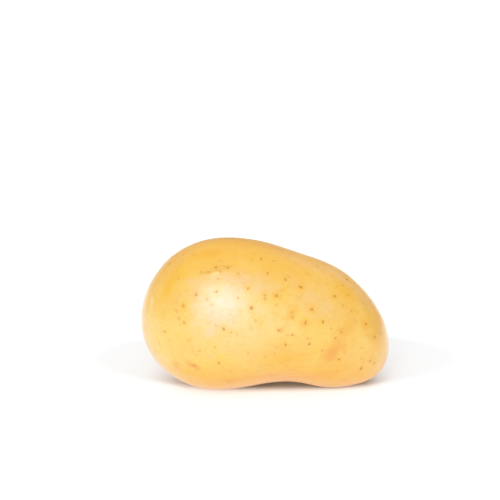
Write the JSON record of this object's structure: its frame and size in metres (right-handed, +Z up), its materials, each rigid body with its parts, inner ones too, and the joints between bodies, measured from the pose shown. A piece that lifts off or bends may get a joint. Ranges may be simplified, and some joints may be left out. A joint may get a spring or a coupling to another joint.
{
  "type": "potato",
  "caption": "Kidney-shaped waxy potato with smooth yellow skin, shallow eyes and a stolon scar, lying on its hollow side; a root vegetable for a kitchen or market scene.",
  "frame": {"origin": "on the surface that the potato lies on, under the middle of its box", "axes": "+X along the tuber from the broad rose end to the narrower heel, +Y from the front to the back, +Z up"},
  "size_m": [0.1, 0.0574, 0.0612],
  "materials": {
    "skin": "satin"
  },
  "bodies": {
    "root": {"potato": "skin"}
  },
  "joints": []
}
